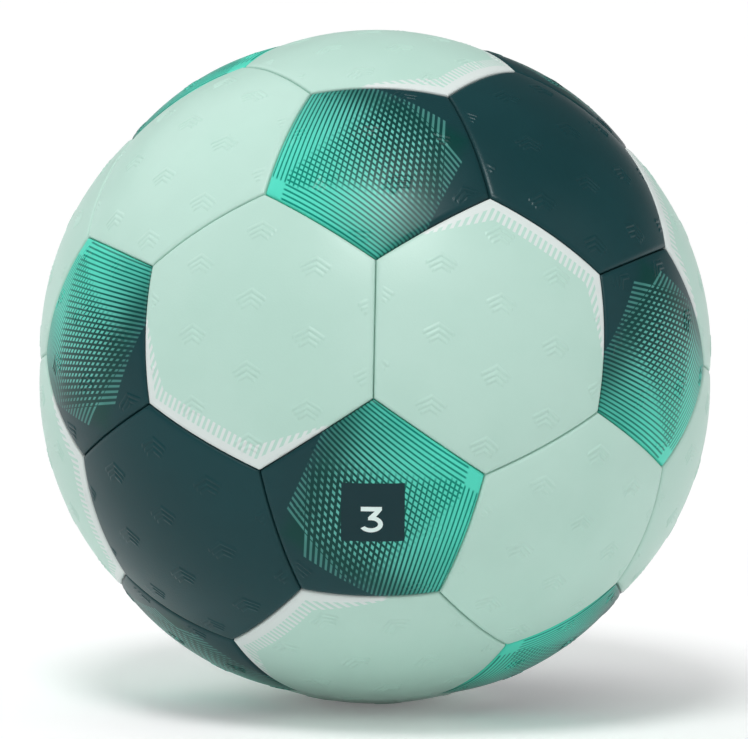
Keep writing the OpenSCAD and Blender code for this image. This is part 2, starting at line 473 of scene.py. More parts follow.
def model_panel(sizes, grip, sides, name, bare, fine):
    """Models one panel about +Z: a bulged sheet with marks, rolled edges and a rim turned in all round.

    A bare place, a middle and its radius, has no marks, and the grid is fine round a fine one.
    """
    shape = PanelShape(sizes, sides)
    ball = Vector((0, 0, 0))
    plane = (0, 0, shape.edge_r)
    sites = grip_sites(grip, shape.edge_r * shape.side * 1.16, bare)

    start_clean()
    bpy.ops.mesh.primitive_circle_add(
        vertices=sides,
        radius=shape.apothem(shape.roll[0][0]) / math.cos(math.pi / sides),
        fill_type="TRIFAN",
        location=plane,
        rotation=(0, 0, math.pi / sides - math.pi / 2),
    )
    panel = bpy.context.object
    panel.name = name
    bpy.ops.object.transform_apply(location=True, rotation=True, scale=True)

    # A grid over the sheet, finer round each group of marks
    edit(panel)
    bpy.ops.mesh.select_all(action="SELECT")
    bpy.ops.mesh.subdivide(number_cuts=19)
    spots = [(site, 0) for site in sites] + fine

    def close(face, reach):
        place = flat_place(face.calc_center_median(), sizes.crown_radius)
        return any((place - middle).length < reach + radius for middle, radius in spots)

    for reach, cuts in ((5.8 * MM, 1), (4.8 * MM, 3)):
        select_where(panel, "faces", lambda f: close(f, reach))
        bpy.ops.mesh.subdivide(number_cuts=cuts)

    # Rows of the rolled edge, still flat
    select_rim(panel)
    for k in range(1, len(shape.roll)):
        s = shape.apothem(shape.roll[k][0]) / shape.apothem(shape.roll[k - 1][0])
        extrude_rim(panel, (s, s, 1), plane, f"roll_{k}")

    # Onto the ball, then onto the panel's own bulge
    cast(panel, shape.edge_r)
    cast(panel, shape.bulge_r, shape.lift)

    # The marks are raised along the faces' own direction, and end before the edge
    marks = vertex_group(panel, "grip_marks")
    for v in panel.data.vertices:
        weight = grip_height(grip, sites, flat_place(v.co, sizes.crown_radius))
        if weight > 0:
            weight *= max(0.0, min(1.0, (shape.seam_distance(v.co) - shape.roll[0][0]) / MM))
        if weight > 0:
            marks.add([v.index], weight, "REPLACE")
    raised = panel.modifiers.new("Grip Marks", "DISPLACE")
    raised.strength = grip.height
    raised.mid_level = 0
    raised.vertex_group = marks.name
    apply_modifier(panel, raised)

    # Roll the edge down, then turn in the rim and close the sheet from inside
    edit(panel, "VERT")
    for k in range(1, len(shape.roll)):
        select_group(panel, f"roll_{k}")
        s = 1 - shape.roll[k][1] / shape.edge_r
        bpy.ops.transform.resize(value=(s, s, s), center_override=ball)
    select_rim(panel)
    s = sizes.rim_bottom / (shape.edge_r - shape.roll[-1][1])
    extrude_rim(panel, (s, s, s), ball, "rim_bottom")
    s = 1 - sizes.rim / shape.apothem(0)
    extrude_rim(panel, (s, s, 1), ball, "rim_bottom")
    s = (shape.edge_r - sizes.cover) / sizes.rim_bottom
    extrude_rim(panel, (s, s, s), ball, "cavity")
    for s in (0.75, 0.66, 0.5):
        extrude_rim(panel, (s, s, 1), ball, "cavity")
    bpy.ops.mesh.merge(type="CENTER")
    bpy.ops.object.mode_set(mode="OBJECT")
    cast(panel, sizes.rim_bottom, None, "rim_bottom")
    cast(panel, shape.bulge_r - sizes.cover, shape.lift, "cavity")
    face_outwards(panel)
    panel.vertex_groups.clear()
    return panel


def panel_frame(sizes, direction):
    """A panel's place: Z runs through its middle and X towards its dark neighbour, or a bordered one."""
    z = Vector(direction).normalized()

    def beside(p):
        return tuple(p) != tuple(direction) and Vector(p).normalized() @ z > math.cos(math.radians(45))

    target = Vector([p for p in DARK + BORDERED if beside(p)][0])
    x = (target - z * (target @ z)).normalized()
    placed = Matrix((x, z.cross(x), z)).transposed().to_4x4()
    return Matrix.Rotation(-sizes.front_lift, 4, "X") @ placed


def upright(sizes, grip, direction, sides):
    """How many sides a copy is turned by, so that its marks point up as nearly as they can."""
    up = panel_frame(sizes, direction).to_3x3().inverted() @ Vector((0, 0, 1))
    return round((math.atan2(up.y, up.x) - grip.angle) / (2 * math.pi / sides))


def place_panel(scene, model, node, direction, sides, material):
    """Copies a panel's model to its place, with a map of its unrolled sheet and its distance to the seam."""
    sizes = scene.ball_sizes
    shape = PanelShape(sizes, sides)
    turns = upright(sizes, scene.grip_sizes, direction, sides)
    mesh = model.data.copy()
    piece = new_object(node.replace("_panel_", "_cover_"), mesh)
    mesh.transform(Matrix.Rotation(2 * math.pi * turns / sides, 4, "Z"))
    middle = Vector((0.5, 0.5))
    places = [flat_place(v.co, sizes.crown_radius) / (MAP_SPAN * MM) + middle for v in mesh.vertices]
    layer = mesh.uv_layers.new(name="panel")
    for loop in mesh.loops:
        layer.data[loop.index].uv = places[loop.vertex_index]
    seam = mesh.attributes.new("seam", "FLOAT", "POINT")
    seam.data.foreach_set("value", [shape.seam_distance(v.co) / MM for v in mesh.vertices])
    mesh.transform(panel_frame(sizes, direction))

    low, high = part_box(node)
    for i in range(3):
        reached = [v.co[i] for v in mesh.vertices]
        if abs(min(reached) - low[i]) > 1 * MM or abs(max(reached) - high[i]) > 1 * MM:
            raise RuntimeError(f"{piece.name} doesn't lie where {node} is")
    finish_piece(piece, node, material, smooth=50)


# Nodes of the materials


class Nodes:
    """Adds nodes to a material or a node group. Values and colours may be sockets or plain ones."""

    def __init__(self, tree):
        self.tree = tree

    def add(self, kind, **settings):
        """A node of this kind, with its settings."""
        node = self.tree.nodes.new("ShaderNode" + kind)
        for name, x in settings.items():
            setattr(node, name, x)
        return node

    def feed(self, socket, x):
        """Links an input to an output, or gives it a plain value."""
        if isinstance(x, bpy.types.NodeSocket):
            self.tree.links.new(x, socket)
        else:
            socket.default_value = x

    def feed_all(self, node, values):
        for name, x in values.items():
            self.feed(node.inputs[name.replace("_", " ").title()], x)
        return node.outputs

    def maths(self, operation, *values):
        node = self.add("Math", operation=operation)
        for socket, x in zip(node.inputs, values):
            self.feed(socket, x)
        return node.outputs[0]

    def plus(self, a, b):
        return self.maths("ADD", a, b)

    def minus(self, a, b):
        return self.maths("SUBTRACT", a, b)

    def times(self, a, b):
        return self.maths("MULTIPLY", a, b)

    def over(self, a, b):
        return self.maths("DIVIDE", a, b)

    def most(self, a, b):
        return self.maths("MAXIMUM", a, b)

    def size(self, a):
        return self.maths("ABSOLUTE", a)

    def off_middle(self, a):
        """How far a value is from the middle between two whole numbers."""
        return self.size(self.minus(self.maths("FRACT", a), 0.5))

    def step(self, x, low, high, to_low=0.0, to_high=1.0):
        """A smooth step from low to high."""
        node = self.add("MapRange", interpolation_type="SMOOTHSTEP")
        values = {"value": x, "from_min": low, "from_max": high, "to_min": to_low, "to_max": to_high}
        return self.feed_all(node, values)["Result"]

    def mix(self, factor, a, b, blend="MIX"):
        """A mix of two colours."""
        node = self.add("Mix", data_type="RGBA", blend_type=blend)
        for socket, x in ((node.inputs["Factor"], factor), (node.inputs[6], a), (node.inputs[7], b)):
            self.feed(socket, x)
        return node.outputs[2]

    def place(self):
        """The place on the object."""
        return self.add("TexCoord").outputs["Object"]

    def texture(self, kind, place, settings=None, **values):
        """A texture at a place, with its settings and the values of its inputs."""
        node = self.add("Tex" + kind, **(settings or {}))
        return self.feed_all(node, {"vector": place, **values})

    def group(self, group, **values):
        return self.feed_all(self.add("Group", node_tree=group), values)

    def seen(self):
        """1 where the camera, a reflection or a view through glass sees the stage, and 0 where it lights."""
        rays = self.add("LightPath").outputs
        seen = self.most(rays["Is Camera Ray"], rays["Is Glossy Ray"])
        return self.most(seen, rays["Is Transmission Ray"])

    def finish(self, shader, base, rough, height, depth):
        """Feeds a shader's colour and roughness, and bumps its surface by a height up to the depth."""
        self.feed(shader["Base Color"], base)
        self.feed(shader["Roughness"], rough)
        bump = self.feed_all(self.add("Bump"), {"height": height, "distance": depth})
        self.feed(shader["Normal"], bump["Normal"])


def node_group(name, **inputs):
    """Makes a function that works out a group's outputs into one that gives the group, built once."""

    def keep(work_out):
        def group():
            if name not in bpy.data.node_groups:
                tree = bpy.data.node_groups.new(name, "ShaderNodeTree")
                for socket, default in inputs.items():
                    title = socket.replace("_", " ").title()
                    made = tree.interface.new_socket(title, in_out="INPUT", socket_type="NodeSocketFloat")
                    made.default_value = default
                outputs = work_out(Nodes(tree), tree.nodes.new("NodeGroupInput").outputs)
                for socket in outputs:
                    tree.interface.new_socket(socket, in_out="OUTPUT", socket_type="NodeSocketFloat")
                out = tree.nodes.new("NodeGroupOutput").inputs
                for socket, x in outputs.items():
                    tree.links.new(x, out[socket])
            return bpy.data.node_groups[name]

        return group

    return keep


@node_group("Panel Place")
def panel_place(n, inside):
    """Place on the unrolled panel in millimetres: X towards the dark side and Y across."""
    parts = n.add("SeparateXYZ")
    n.feed(parts.inputs[0], n.add("UVMap", uv_map="panel").outputs[0])
    return {name: n.times(n.minus(parts.outputs[name], 0.5), MAP_SPAN) for name in ("X", "Y")}


@node_group("Line Count", up=0, across=0, corner=32.95, slope=0.5, fan=145, pitch=1.715)
def line_count(n, inside):
    """How many printed lines lie between a place and the bright edge on one side. They fan out inwards."""
    height = n.minus(inside["Up"], n.times(inside["Across"], inside["Slope"]))
    spread = n.plus(n.over(inside["Across"], inside["Fan"]), 1)
    below = n.minus(inside["Corner"], n.over(height, spread))
    return {"Count": n.over(below, inside["Pitch"])}


@node_group("Line Gap", count=0, other=0, width=0.4, first=3.8, last=30.4)
def line_gap(n, inside):
    """Dark gaps of one set of printed lines, where they show."""
    count, other = inside["Count"], inside["Other"]
    gap = n.step(n.minus(n.times(inside["Width"], 0.5), n.off_middle(count)), -0.06, 0.06)
    crossing = n.step(n.over(other, n.most(count, 0.01)), 0.52, 0.74)
    past_first = n.step(n.minus(other, inside["First"]), -0.3, 0.3)
    before_last = n.step(n.minus(inside["Last"], count), -0.05, 0.05)
    return {"Gap": n.times(gap, n.times(n.times(crossing, past_first), before_last))}


@node_group("Halftone Print", x=0, y=0, most_lines=60, end=21.4, last=30.2)
def halftone_print(n, inside):
    """Two fans of printed lines that cross in the middle of the pentagon and end before its dark side."""
    up, side = n.times(inside["X"], -1), n.size(inside["Y"])
    left = n.group(line_count(), up=up, across=inside["Y"])["Count"]
    right = n.group(line_count(), up=up, across=n.times(inside["Y"], -1))["Count"]
    depth = n.over(n.plus(left, right), inside["Most Lines"])
    # The gaps are wider deep in the panel, towards its sides and close to its bright corner
    width = n.plus(n.step(depth, 0.3, 1.0, 0.31, 0.54), n.step(side, 8, 22, 0, 0.09))
    width = n.plus(width, n.step(depth, 0.1, 0.4, 0.07, 0))
    left_gap = n.group(line_gap(), count=left, other=right, width=width)["Gap"]
    right_gap = n.group(line_gap(), count=right, other=left, width=width)["Gap"]
    # The print fades towards a slant on each side, where it ends, and ends below the last lines
    slanted = n.plus(n.times(side, 0.640), n.times(inside["X"], 0.769))
    slant = n.step(n.minus(slanted, inside["End"]), 0, 0.3)
    below = n.step(n.minus(n.maths("MINIMUM", left, right), inside["Last"]), 0, 0.2)
    bare = n.most(n.most(slant, below), n.most(left_gap, right_gap))
    fade = n.times(n.step(slanted, 8, 18.5, 1, 0.4), n.step(side, 10, 26, 1, 0.68))
    return {
        "Bright": n.times(n.minus(1, bare), fade),
        "Depth": depth,
        "Ground": n.step(up, 30, -4),
        "Bare": n.step(slanted, 17, 23),
    }


@node_group("Toothed Border", x=0, y=0, apothem=34, band=3, tooth=3.5, pitch=1.74, half_edge=31.6)
def toothed_border(n, inside):
    """White band along the dark side of a hexagon, with teeth, tapered along the two sides next to it."""
    x, side = inside["X"], n.size(inside["Y"])
    from_dark = n.minus(inside["Apothem"], x)
    slanted = n.plus(n.times(x, 0.5), n.times(side, 0.866))
    from_side = n.minus(inside["Apothem"], slanted)
    left_over = n.most(n.minus(inside["Half Edge"], side), 0)

    def strip(reach, taper, soft):
        """What lies within reach of the dark side, or within a taper of the sides next to it."""
        end = n.plus(n.times(left_over, taper), 0.5)
        along_dark = n.step(n.minus(reach, from_dark), -soft, soft)
        return n.most(along_dark, n.step(n.minus(end, from_side), -soft, soft))

    band = strip(inside["Band"], 0.20, 0.08)
    tips = strip(n.plus(inside["Band"], inside["Tooth"]), 0.38, 0.1)
    # The teeth are all square to the dark side
    tooth = n.step(n.off_middle(n.over(side, inside["Pitch"])), 0.21, 0.29, 1, 0)
    white = n.most(band, n.times(tips, tooth))
    return {"White": n.times(white, n.step(x, 12, 14))}


@node_group("Cover Surface", cells=1900, slow=26, seam_width=0.9)
def cover_surface(n, inside):
    """Fine leather grain, slow changes of tone, and a mask for dust and painted shade in the seams."""
    place = n.place()
    cells = n.texture("Voronoi", place, {"feature": "SMOOTH_F1"}, smoothness=0.6, scale=inside["Cells"])
    fine = n.texture("Noise", place, scale=5200, detail=2)["Fac"]
    slow = n.texture("Noise", place, detail=3, roughness=0.55, scale=inside["Slow"])["Fac"]
    seam = n.add("Attribute", attribute_name="seam").outputs["Fac"]
    return {
        "Height": n.plus(n.times(cells["Distance"], 0.8), n.times(fine, 0.35)),
        "Tone": slow,
        "Seam": n.step(seam, 0.1, inside["Seam Width"], 1, 0),
        "Sheen": n.step(slow, 0.3, 0.7, -0.03, 0.03),
    }


# Materials


def new_material(name):
    """An empty material: itself, its nodes and its shader's inputs."""
    material = bpy.data.materials.new(name)
    material.use_nodes = True
    material.node_tree.nodes.clear()
    n = Nodes(material.node_tree)
    shader = n.add("BsdfPrincipled")
    n.feed(n.add("OutputMaterial").inputs["Surface"], shader.outputs["BSDF"])
    return material, n, shader.inputs


def toned(of_colour, factor, lift=0.0):
    """A lighter or darker tone of a colour."""
    return (*(min(1.0, c * factor + lift) for c in of_colour[:3]), 1.0)


# Dark grey of the dust and painted shade in the seam grooves
SEAM_DUST_AND_SHADE = (0.10, 0.12, 0.115, 1)
WHITE = (1, 1, 1, 1)
BLACK = (0, 0, 0, 1)


def cover_material(name, make_colour, finish):
    """A cover's material: its print or plain colour under the same grain, tone, and dust and painted shade
    in the seams.
    """
    material, n, shader = new_material(name)
    surface = n.group(cover_surface())
    lighter = n.mix(n.step(surface["Tone"], 0.35, 0.65, 0, 0.10), make_colour(n), WHITE, "SOFT_LIGHT")
    # Dust with painted shade: the colour darkens towards the seam grooves
    dusty_and_shaded = n.mix(n.times(surface["Seam"], 0.05), lighter, SEAM_DUST_AND_SHADE)
    rough = n.plus(n.plus(surface["Sheen"], finish.roughness), n.times(surface["Seam"], 0.12))
    n.finish(shader, dusty_and_shaded, rough, surface["Height"], finish.grain)
    shader["Specular IOR Level"].default_value = finish.gloss
    return material


def printed_colour(colours):
    """Turquoise lines on a green ground that darkens towards the bare dark side."""

    def make(n):
        place = n.group(panel_place())
        ink = n.group(halftone_print(), x=place["X"], y=place["Y"])
        bright = n.mix(n.step(ink["Depth"], 0.1, 0.95), tuple(colours.bright), tuple(colours.bright_far))
        ground = n.mix(ink["Ground"], tuple(colours.gap), tuple(colours.deep))
        ground = n.mix(ink["Bare"], ground, tuple(colours.dark))
        return n.mix(ink["Bright"], ground, bright)

    return make


def bordered_colour(colours):
    """Mint with a white toothed border."""

    def make(n):
        place = n.group(panel_place())
        white = n.group(toothed_border(), x=place["X"], y=place["Y"])["White"]
        return n.mix(white, tuple(colours.mint), tuple(colours.white))

    return make


def plain_colour(of_colour):
    """One colour with faint clouds of a paler tone."""

    def make(n):
        clouds = n.texture("Noise", n.place(), scale=60)["Fac"]
        return n.mix(clouds, tuple(of_colour), toned(of_colour, 1.06))

    return make


def ink_material(name, ink, finish):
    """Printed ink, a little smoother than the cover under it."""
    material, n, shader = new_material(name)
    surface = n.group(cover_surface())
    base = n.mix(surface["Tone"], tuple(ink), toned(ink, 1.12))
    rough = n.plus(surface["Sheen"], finish.roughness - 0.02)
    n.finish(shader, base, rough, surface["Height"], finish.grain * 0.7)
    shader["Specular IOR Level"].default_value = finish.gloss
    return material


def rubber_material(name, rubber, roughness):
    """Moulded rubber with a fine matt skin and a little bloom."""
    material, n, shader = new_material(name)
    place = n.place()
    skin = n.texture("Noise", place, scale=2600, detail=4)["Fac"]
    bloom = n.texture("Noise", place, scale=90, detail=5)["Fac"]
    base = n.mix(n.step(bloom, 0.42, 0.68), tuple(rubber), toned(rubber, 1.5, 0.012))
    n.finish(shader, base, n.step(bloom, 0.3, 0.7, roughness - 0.05, roughness + 0.06), skin, 0.02 * MM)
    return material


def foam_material(foam):
    """Fine open foam whose pores are painted darker, as painted shade in their hollows."""
    material, n, shader = new_material("foam pad")
    pores = n.texture("Voronoi", n.place(), scale=1500)["Distance"]
    # Painted shade: the colour darkens where the bump sinks into a pore
    base = n.mix(n.step(pores, 0.1, 0.55), toned(foam, 0.7), tuple(foam))
    n.finish(shader, base, n.step(pores, 0, 0.6, 0.95, 0.8), pores, 0.15 * MM)
    return material


def lining_material(cloth):
    """Woven cloth, its two sets of threads as crossed waves, painted darker between the threads as painted
    shade.
    """
    material, n, shader = new_material("woven lining")
    place = n.place()
    threads = [
        n.texture("Wave", place, {"bands_direction": direction}, scale=260, distortion=0.6)["Fac"]
        for direction in ("X", "Z")
    ]
    weave = n.most(*threads)
    # Painted shade: the cloth darkens between the threads, where the bump sinks
    base = n.mix(weave, toned(cloth, 0.66), tuple(cloth))
    n.finish(shader, base, n.step(weave, 0, 1, 0.92, 0.78), weave, 0.12 * MM)
    return material


def thread_material(wax):
    """Waxed thread, its plies as slanted waves, each painted lighter along its crest as a painted highlight.
    """
    material, n, shader = new_material("waxed thread")
    ply = n.texture("Wave", n.place(), {"bands_direction": "DIAGONAL"}, scale=520)["Fac"]
    # Painted highlight: each ply is lighter along its crest, where the bump rises
    base = n.mix(ply, tuple(wax), toned(wax, 1.7))
    n.finish(shader, base, n.step(ply, 0, 1, 0.6, 0.42), ply, 0.1 * MM)
    return material


# Pieces that more than one operator makes


def panel_model(scene, sides, valve, badge):
    """The hidden model of a panel that copies are made from, modelled once."""
    name = f"panel_model_{sides}" + ("_valve" if valve else "") + ("_badge" if badge else "")
    if name in bpy.data.objects:
        return bpy.data.objects[name]
    middle = Vector((0, 0))
    bare, fine = [], []
    if valve:
        bare, fine = [(middle, 10 * MM)], [(middle, 1.5 * MM)]
    if badge:
        bare = [(middle, scene.badge_sizes.width * 0.85)]
    model = model_panel(scene.ball_sizes, scene.grip_sizes, sides, name, bare, fine)
    if valve:
        cut_valve_hole(scene, model)
    model.hide_render = True
    model.hide_viewport = True
    return model


def cut_valve_hole(scene, model):
    """Cuts the round hole with its rolled lip into the middle of a panel."""
    valve = scene.valve_sizes
    top = scene.ball_sizes.crown_radius - valve.lip
    depth = 12 * MM
    start_clean()
    bpy.ops.mesh.primitive_cylinder_add(
        vertices=96, radius=valve.hole, depth=depth, end_fill_type="NGON", location=(0, 0, top - depth / 2)
    )
    cutter = bpy.context.object
    bpy.ops.object.transform_apply(location=True)
    edit(cutter)
    select_where(cutter, "faces", lambda f: f.normal.z > 0.9)
    steps = 6
    turns = [math.pi / 2 * k / steps for k in range(steps + 1)]
    for before, turn in zip(turns, turns[1:]):
        was, wide = (valve.hole + valve.lip * (1 - math.cos(t)) for t in (before, turn))
        bpy.ops.mesh.extrude_region()
        bpy.ops.transform.translate(value=(0, 0, valve.lip * (math.sin(turn) - math.sin(before))))
        bpy.ops.transform.resize(value=(wide / was, wide / was, 1), center_override=(0, 0, top))
    bpy.ops.mesh.extrude_region()
    bpy.ops.transform.translate(value=(0, 0, 2 * MM))
    face_outwards(cutter)
    hole = model.modifiers.new("Valve Hole", "BOOLEAN")
    hole.operation = "DIFFERENCE"
    hole.solver = "EXACT"
    hole.object = cutter
    apply_modifier(model, hole)
    bpy.data.objects.remove(cutter)


def make_covers(context, kind, directions, sides, name, make_colour):
    """Makes all covers of one kind. The badge's and the valve's have models of their own."""
    scene = context.scene
    material = cover_material(name, make_colour, scene.cover_finish)
    for i, direction in enumerate(directions):
        node = f"{kind}_panel_{i + 1}"
        model = panel_model(scene, sides, node == VALVE_NODE, node == BADGE_NODE)
        place_panel(scene, model, node, direction, sides, material)
    return {"FINISHED"}


def spin_profile(name, points, segments):
    """Spins a closed profile of (radius, height) pairs round Z."""
    mesh = bpy.data.meshes.new(name)
    start_clean()
    piece = new_object(name, mesh)
    count = len(points)
    mesh.from_pydata([(r, 0, z) for r, z in points], [(i, (i + 1) % count) for i in range(count)], [])
    edit(piece, "VERT")
    bpy.ops.mesh.select_all(action="SELECT")
    bpy.ops.mesh.spin(steps=segments, angle=2 * math.pi, center=(0, 0, 0), axis=(0, 0, 1))
    bpy.ops.mesh.select_all(action="SELECT")
    bpy.ops.mesh.remove_doubles(threshold=0.002 * MM)
    face_outwards(piece)
    return piece


def arc(centre_r, centre_z, radius, start, end, steps=6):
    """Points along an arc of a profile, angles in degrees."""
    turns = [math.radians(start + (end - start) * k / steps) for k in range(steps + 1)]
    return [(centre_r + radius * math.cos(t), centre_z + radius * math.sin(t)) for t in turns]


# Operators


class HANDBALL_OT_pentagons(bpy.types.Operator):
    """Makes the twelve pentagon covers with their printed fans of lines."""

    bl_idname = "handball.pentagons"
    bl_label = "Pentagon Covers"

    def execute(self, context):
        ink = printed_colour(context.scene.ball_colours)
        name, slot = "printed turquoise cover", "turquoise_cover"
        return make_covers(context, "pentagon", PENTAGONS, 5, name, ink)


class HANDBALL_OT_bordered_hexagons(bpy.types.Operator):
    """Makes the twelve mint hexagon covers with a toothed white border beside the dark panel."""

    bl_idname = "handball.bordered_hexagons"
    bl_label = "Bordered Hexagon Covers"

    def execute(self, context):
        mint = bordered_colour(context.scene.ball_colours)
        name, slot = "bordered mint cover", "bordered_mint_cover"
        return make_covers(context, "bordered_hexagon", BORDERED, 6, name, mint)


class HANDBALL_OT_dark_hexagons(bpy.types.Operator):
    """Makes the four dark teal hexagon covers."""

    bl_idname = "handball.dark_hexagons"
    bl_label = "Dark Hexagon Covers"

    def execute(self, context):
        dark = plain_colour(context.scene.ball_colours.dark)
        name, slot = "dark teal cover", "dark_teal_cover"
        return make_covers(context, "dark_hexagon", DARK, 6, name, dark)


class HANDBALL_OT_plain_hexagons(bpy.types.Operator):
    """Makes the four plain mint hexagon covers, one with the hole for the valve."""

    bl_idname = "handball.plain_hexagons"
    bl_label = "Plain Hexagon Covers"

    def execute(self, context):
        mint = plain_colour(context.scene.ball_colours.mint)
        name, slot = "plain mint cover", "plain_mint_cover"
        return make_covers(context, "plain_hexagon", PLAIN, 6, name, mint)


class HANDBALL_OT_badge(bpy.types.Operator):
    """Prints the badge and its numeral on the first pentagon, as two thin layers of ink."""

    bl_idname = "handball.badge"
    bl_label = "Size Badge"

    def execute(self, context):
        scene = context.scene
        badge, colours, finish = scene.badge_sizes, scene.ball_colours, scene.cover_finish
        start_clean()
        bpy.ops.mesh.primitive_grid_add(x_subdivisions=34, y_subdivisions=32, size=1)
        ground = bpy.context.object
        ground.name = "size_badge"
        ground.data.transform(Matrix.Diagonal((badge.width, badge.height, 1, 1)))
        self.lay(scene, ground, 1)
        finish_piece(ground, None, ink_material("badge ink", colours.badge, finish), 40)

        numeral = self.numeral(badge.numeral, badge.drop)
        self.lay(scene, numeral, 2)
        pale = ink_material("numeral ink", colours.numeral, finish)
        finish_piece(numeral, None, pale, 40)
        return {"FINISHED"}

    def numeral(self, height, drop):
        """A plain 3 with a flat top, still flat, cut into small faces."""
        bowl = 0.325
        outline = [(-0.36, 1), (0.38, 1), (0.38, 0.87)]
        for wide, high, start, turned_by in ((0.42, 0.325, 65, -215), (0.25, 0.16, -150, 240)):
            for k in range(29):
                turn = math.radians(start + turned_by * k / 28)
                outline.append((wide * math.cos(turn), bowl + high * math.sin(turn)))
        outline += [(-0.1, 0.485), (-0.1, 0.6), (0.13, 0.83), (-0.36, 0.83)]
        corners = [((x - 0.065) * height, (y - 0.5) * height - drop, 0) for x, y in outline]
        start_clean()
        mesh = bpy.data.meshes.new("size_numeral")
        numeral = new_object("size_numeral", mesh)
        mesh.from_pydata(corners, [], [range(len(corners))])
        edit(numeral)
        bpy.ops.mesh.select_all(action="SELECT")
        bpy.ops.mesh.quads_convert_to_tris()
        bpy.ops.mesh.subdivide(number_cuts=5)
        bpy.ops.object.mode_set(mode="OBJECT")
        return numeral

    def lay(self, scene, film, layer):
        """Lays a flat film on the pentagon's bulge, as the given layer of ink."""
        badge = scene.badge_sizes
        shape = PanelShape(scene.ball_sizes, 5)
        middle = Matrix.Translation((badge.offset_x, badge.offset_y, shape.edge_r))
        film.data.transform(middle @ Matrix.Rotation(badge.turn, 4, "Z"))
        cast(film, shape.edge_r)
        cast(film, shape.bulge_r + layer * badge.ink, shape.lift)
        face_outwards(film)
        if sum(f.normal.z for f in film.data.polygons) < 0:
            film.data.flip_normals()
        wall = film.modifiers.new("Ink", "SOLIDIFY")
        wall.thickness = badge.ink * 0.9
        wall.offset = -1
        apply_modifier(film, wall)
        film.data.transform(panel_frame(scene.ball_sizes, PENTAGONS[0]))


class HANDBALL_OT_valve(bpy.types.Operator):
    """Makes the valve's moulded stem with its flange, and the plug with the needle's duct."""

    bl_idname = "handball.valve"
    bl_label = "Valve"

    def execute(self, context):
        scene = context.scene
        v = scene.valve_sizes
        rubber = rubber_material("valve rubber", scene.ball_colours.valve, 0.5)
        stem = spin_profile("valve_stem_moulding", self.stem_profile(v), 72)
        self.close_axis(stem)
        plug = spin_profile("valve_plug_moulding", self.plug_profile(v), 56)
        for piece, node in ((stem, "valve_stem"), (plug, "valve_plug")):
            piece.data.transform(panel_frame(scene.ball_sizes, PLAIN[3]))
            finish_piece(piece, node, rubber, 35)
        return {"FINISHED"}

    def stem_profile(self, v):
        """The stem's socket for the plug, its face with a ring groove, its side and its domed flange."""
        bottom = v.face - v.stem_length
        floor = bottom + 2 * MM
        rounding, lip, axis = 0.35 * MM, 0.2 * MM, 0.01 * MM
        groove = ((0.5, 0), (0.58, 0.14), (0.76, 0.14), (0.84, 0))
        rows = [v.stem + (v.flange - v.stem) * k / 6 for k in range(6)]

        def domed(r, drop, inward=0.0):
            """A point of the flange, this far under its domed top, drawn inwards from this radius."""
            return (r - inward, math.sqrt((v.flange_top - drop) ** 2 - r * r))

        profile = [(v.plug_hole, floor)]
        profile += arc(v.plug_hole + lip, v.face - lip, lip, 180, 90, 4)
        profile += [(v.plug_hole + r * MM, v.face - deep * MM) for r, deep in groove]
        profile += arc(v.stem - rounding, v.face - rounding, rounding, 90, 0)
        root = domed(v.stem, 0)[1]
        profile += [(v.stem, root + lip), (v.stem + lip, root)]
        profile += [domed(r, 0) for r in rows[1:]]
        # The flange's worn edge
        profile += [domed(v.flange, 0, 0.15 * MM), domed(v.flange, 0.3 * MM)]
        profile.append(domed(v.flange, v.flange_thickness * 0.45, 0.1 * MM))
        profile += [domed(r, v.flange_thickness) for r in reversed(rows)]
        profile += arc(v.stem - rounding, bottom + rounding, rounding, 0, -90)
        return profile + [(1.2 * MM, bottom), (axis, bottom), (axis, floor)]

    def plug_profile(self, v):
        """The plug with its funnel, its duct and its rounded ends."""
        funnel, rounding = 0.45 * MM, 0.3 * MM
        profile = [(v.needle, v.plug_bottom), (v.needle, v.plug_face - funnel)]
        profile += arc(v.needle + funnel, v.plug_face - funnel, funnel, 180, 90, 5)
        profile += arc(v.plug - rounding, v.plug_face - rounding, rounding, 90, 0, 5)
        return profile + [(v.plug, v.plug_bottom + rounding), (v.plug - rounding, v.plug_bottom)]

    def close_axis(self, piece):
        """Merges what the spin left round the axis."""
        edit(piece, "VERT")
        for level in (min, max):
            near = [x.co.z for x in bmesh.from_edit_mesh(piece.data).verts if x.co.xy.length < 0.05 * MM]
            height = level(near)
            select_where(
                piece, "verts", lambda x: x.co.xy.length < 0.05 * MM and abs(x.co.z - height) < 0.1 * MM
            )
            bpy.ops.mesh.merge(type="CENTER")
        face_outwards(piece)


class HANDBALL_OT_inner_layers(bpy.types.Operator):
    """Gives the pads, linings, thread, bladder, patch and ring inside the ball their materials."""

    bl_idname = "handball.inner_layers"
    bl_label = "Inner Layers"

    def execute(self, context):
        colours = context.scene.ball_colours
        for material, nodes in (
            (foam_material(colours.foam), ("pentagon_foam_pads", "hexagon_foam_pads")),
            (lining_material(colours.lining), ("pentagon_linings", "hexagon_linings")),
            (thread_material(colours.thread), ("seam_thread",)),
            (rubber_material("bladder rubber", colours.bladder, 0.58), ("bladder",)),
            (rubber_material("patch rubber", colours.patch, 0.62), ("balance_patch", "valve_ring")),
        ):
            for node in nodes:
                piece = frame["nodes"][node]
                piece.data.materials.clear()
                piece.data.materials.append(material)
        return {"FINISHED"}


